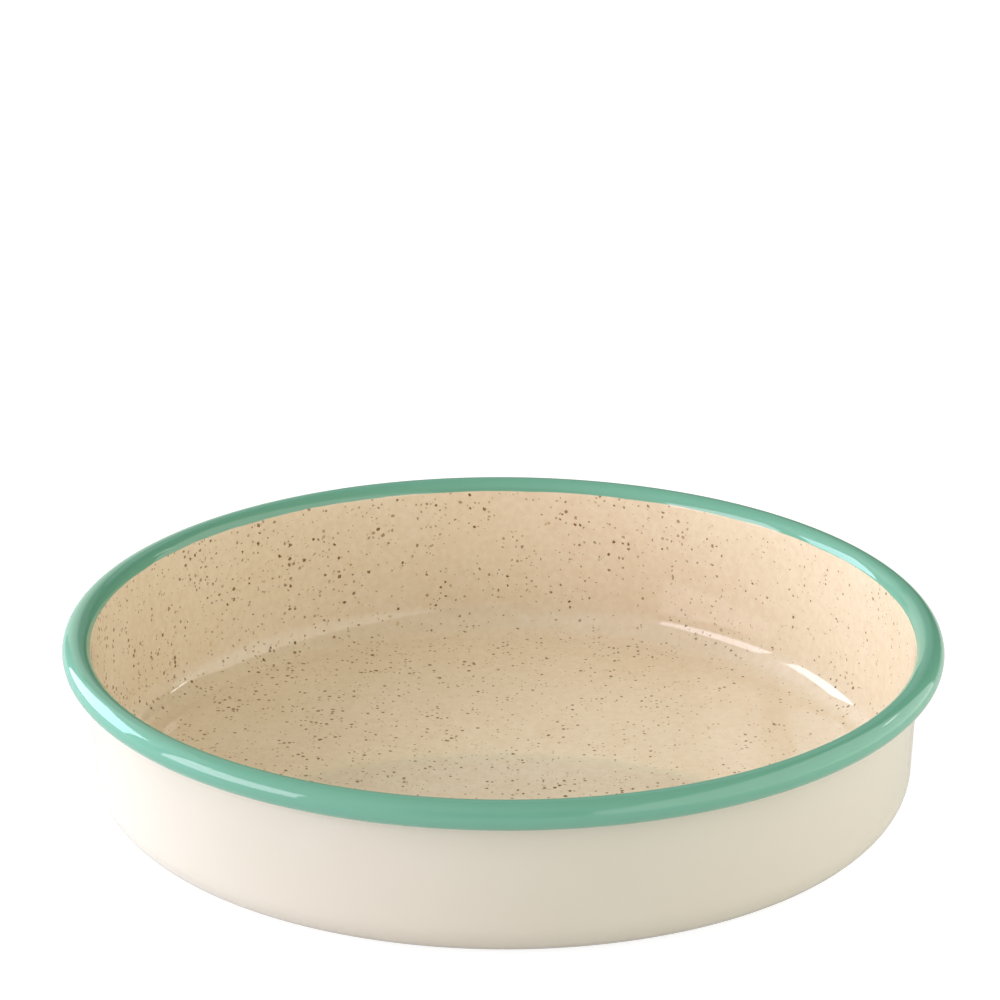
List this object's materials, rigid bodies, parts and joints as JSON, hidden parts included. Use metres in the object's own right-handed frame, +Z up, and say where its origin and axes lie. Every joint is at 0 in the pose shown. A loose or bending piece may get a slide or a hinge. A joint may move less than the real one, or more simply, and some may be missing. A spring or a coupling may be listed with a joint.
{
  "type": "enamelled steel baking dish",
  "caption": "Round enamelled steel baking dish with a flat base, a rounded corner, a leaning wall and a rolled hollow rim.",
  "frame": {"origin": "middle of the base's underside", "axes": "+Z up along the dish's own axis, out of its mouth; the dish is round, so +X and +Y are free"},
  "size_m": [0.26, 0.26, 0.0506],
  "materials": {
    "enamel": "glossy vitreous enamel on steel: plain cream outside, speckled beige inside, green on the rim"
  },
  "bodies": {
    "root": {"baking_dish": "enamel"}
  },
  "joints": []
}
